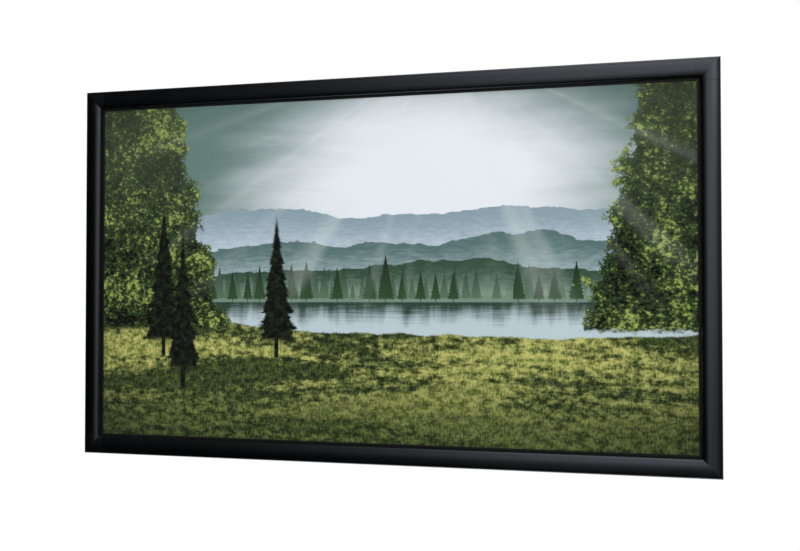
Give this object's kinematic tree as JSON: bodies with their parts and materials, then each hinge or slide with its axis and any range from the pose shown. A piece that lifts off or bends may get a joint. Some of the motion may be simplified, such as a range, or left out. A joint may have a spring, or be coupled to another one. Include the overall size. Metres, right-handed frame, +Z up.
{
  "type": "fixed frame projector screen",
  "caption": "Wall-hung black frame with a domed border that keeps a flat white projection sheet taut for a projector's picture.",
  "frame": {"origin": "middle of the box round the whole screen and its wall brackets", "axes": "+X along the screen's width, to the viewer's right, +Y back to the wall, +Z up, so the picture faces -Y"},
  "size_m": [2.366, 0.0428, 1.397],
  "materials": {
    "rail_black": "satin black lacquer on extruded aluminium",
    "corner_black": "satin black moulded plastic",
    "sheet_white": "matt white vinyl with a black back",
    "rod_fibreglass": "pale drawn fibreglass",
    "clip_nylon": "moulded black nylon",
    "zinc_steel": "bright zinc plate",
    "bracket_black": "black powder coat on pressed steel"
  },
  "bodies": {
    "root": {"top_rail": "rail_black", "bottom_rail": "rail_black", "left_rail": "rail_black", "right_rail": "rail_black", "corner_block_top_left": "corner_black", "corner_block_top_right": "corner_black", "corner_block_bottom_left": "corner_black", "corner_block_bottom_right": "corner_black", "corner_bracket_top_left": "zinc_steel", "corner_bracket_top_right": "zinc_steel", "corner_bracket_bottom_left": "zinc_steel", "corner_bracket_bottom_right": "zinc_steel", "bracket_screw_top_left_1": "zinc_steel", "bracket_screw_top_left_2": "zinc_steel", "bracket_screw_top_right_1": "zinc_steel", "bracket_screw_top_right_2": "zinc_steel", "bracket_screw_bottom_left_1": "zinc_steel", "bracket_screw_bottom_left_2": "zinc_steel", "bracket_screw_bottom_right_1": "zinc_steel", "bracket_screw_bottom_right_2": "zinc_steel", "projection_surface": "sheet_white", "tension_rod_top": "rod_fibreglass", "tension_rod_bottom": "rod_fibreglass", "tension_rod_left": "rod_fibreglass", "tension_rod_right": "rod_fibreglass", "tension_clip_top_1": "clip_nylon", "tension_clip_top_2": "clip_nylon", "tension_clip_top_3": "clip_nylon", "tension_clip_top_4": "clip_nylon", "tension_clip_top_5": "clip_nylon", "tension_clip_top_6": "clip_nylon", "tension_clip_top_7": "clip_nylon", "tension_clip_top_8": "clip_nylon", "tension_clip_top_9": "clip_nylon", "tension_clip_top_10": "clip_nylon", "tension_clip_bottom_1": "clip_nylon", "tension_clip_bottom_2": "clip_nylon", "tension_clip_bottom_3": "clip_nylon", "tension_clip_bottom_4": "clip_nylon", "tension_clip_bottom_5": "clip_nylon", "tension_clip_bottom_6": "clip_nylon", "tension_clip_bottom_7": "clip_nylon", "tension_clip_bottom_8": "clip_nylon", "tension_clip_bottom_9": "clip_nylon", "tension_clip_bottom_10": "clip_nylon", "tension_clip_left_1": "clip_nylon", "tension_clip_left_2": "clip_nylon", "tension_clip_left_3": "clip_nylon", "tension_clip_left_4": "clip_nylon", "tension_clip_left_5": "clip_nylon", "tension_clip_right_1": "clip_nylon", "tension_clip_right_2": "clip_nylon", "tension_clip_right_3": "clip_nylon", "tension_clip_right_4": "clip_nylon", "tension_clip_right_5": "clip_nylon", "wall_bracket_upper_left": "bracket_black", "wall_bracket_upper_right": "bracket_black", "wall_bracket_lower_left": "bracket_black", "wall_bracket_lower_right": "bracket_black"}
  },
  "joints": []
}
